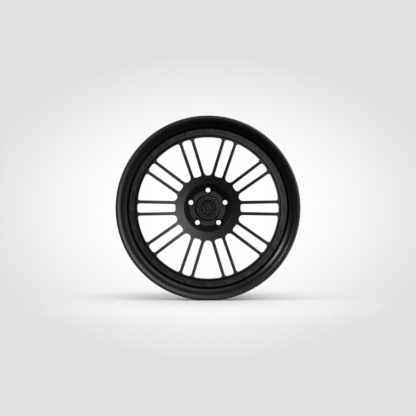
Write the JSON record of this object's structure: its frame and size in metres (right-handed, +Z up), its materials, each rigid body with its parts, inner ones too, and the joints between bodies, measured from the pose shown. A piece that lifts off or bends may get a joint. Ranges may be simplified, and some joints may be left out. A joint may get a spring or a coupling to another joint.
{
  "type": "racing wheel rim",
  "caption": "Deep-dish forged racing wheel rim in satin black: bolted lip and barrel halves, concave centre with paired thin spokes, lug wells, pull-off centre cap and tyre valve.",
  "frame": {"origin": "on the wheel axis, at the middle of the rim's overall width", "axes": "+Y along the wheel axis from the outer face towards the car, +Z up as the wheel stands, +X to the right seen from the outer face"},
  "size_m": [0.5982, 0.292, 0.5982],
  "materials": {
    "satin_black": "satin black powder coat over forged aluminium, even, with a soft broad highlight",
    "cap_black": "semi-matt moulded plastic",
    "cap_insert_black": "satin anodised plate, black with a very slight warm tint",
    "black_steel": "black oxide steel, lightly oiled",
    "bright_steel": "plain spring wire",
    "black_rubber": "matt rubber or cured sealant",
    "valve_brass": "turned brass"
  },
  "bodies": {
    "wheel": {"outer_lip": "satin_black", "inner_barrel": "satin_black", "barrel_seal": "black_rubber", "wheel_centre": "satin_black", "hub_ring": "satin_black", "assembly_bolt_01": "black_steel", "assembly_bolt_02": "black_steel", "assembly_bolt_03": "black_steel", "assembly_bolt_04": "black_steel", "assembly_bolt_05": "black_steel", "assembly_bolt_06": "black_steel", "assembly_bolt_07": "black_steel", "assembly_bolt_08": "black_steel", "assembly_bolt_09": "black_steel", "assembly_bolt_10": "black_steel", "assembly_bolt_11": "black_steel", "assembly_bolt_12": "black_steel", "assembly_bolt_13": "black_steel", "assembly_bolt_14": "black_steel", "assembly_bolt_15": "black_steel", "assembly_bolt_16": "black_steel", "assembly_bolt_17": "black_steel", "assembly_bolt_18": "black_steel", "assembly_bolt_19": "black_steel", "assembly_bolt_20": "black_steel", "assembly_bolt_21": "black_steel", "assembly_bolt_22": "black_steel", "assembly_bolt_23": "black_steel", "assembly_bolt_24": "black_steel", "valve_grommet": "black_rubber", "valve_stem": "black_steel", "valve_washer": "black_steel", "valve_nut": "black_steel", "valve_core": "valve_brass"},
    "cap": {"centre_cap": "cap_black", "cap_insert": "cap_insert_black", "cap_emblem": "cap_insert_black", "cap_spring_ring": "bright_steel", "cap_o_ring": "black_rubber"},
    "valve_cap": {"valve_cap": "cap_black"},
    "valve_pin": {"valve_pin": "valve_brass"}
  },
  "joints": [
    {"name": "cap_pull", "type": "slide", "parent": "wheel", "child": "cap", "axis": [0, -1, 0], "range_m": [0, 0.03]},
    {"name": "valve_cap_off", "type": "slide", "parent": "wheel", "child": "valve_cap", "axis": [-0.5878, 0, 0.809], "range_m": [0, 0.012]},
    {"name": "valve_pin_press", "type": "slide", "parent": "wheel", "child": "valve_pin", "axis": [0.5878, 0, -0.809], "range_m": [0, 0.0012], "stiffness_N_per_m": 1500, "springref_m": -0.001}
  ]
}
